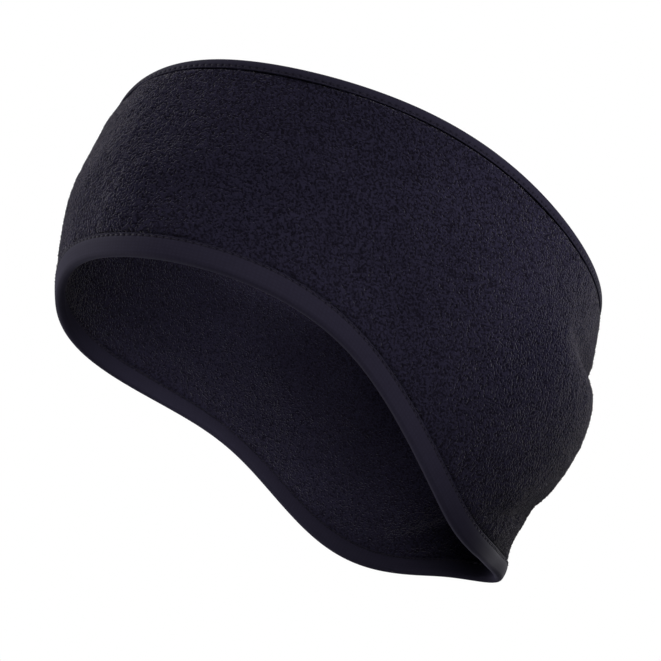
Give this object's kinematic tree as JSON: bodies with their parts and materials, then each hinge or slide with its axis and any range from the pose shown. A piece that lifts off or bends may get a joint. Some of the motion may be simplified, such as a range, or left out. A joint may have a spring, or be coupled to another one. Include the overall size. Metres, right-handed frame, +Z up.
{
  "type": "ear warmer headband",
  "caption": "Contoured fleece ring worn round the head, narrow over the forehead and deep over the ears and nape, with folded stretch tape binding its upper and lower edges.",
  "frame": {"origin": "middle of the hollow that the head fills, level with the middle of the band's height at the sides", "axes": "+Z up with the head upright; -Y towards the forehead, +Y towards the nape; +X towards the wearer's left ear"},
  "size_m": [0.1656, 0.2148, 0.1763],
  "materials": {
    "fleece": "brushed double-faced fleece, dark navy, fully matt with a short fuzz",
    "binding_tape": "fine-knit stretch tape, dark navy, smooth and slightly satin"
  },
  "bodies": {
    "root": {"fleece_band": "fleece", "lower_binding": "binding_tape", "upper_binding": "binding_tape"}
  },
  "joints": []
}
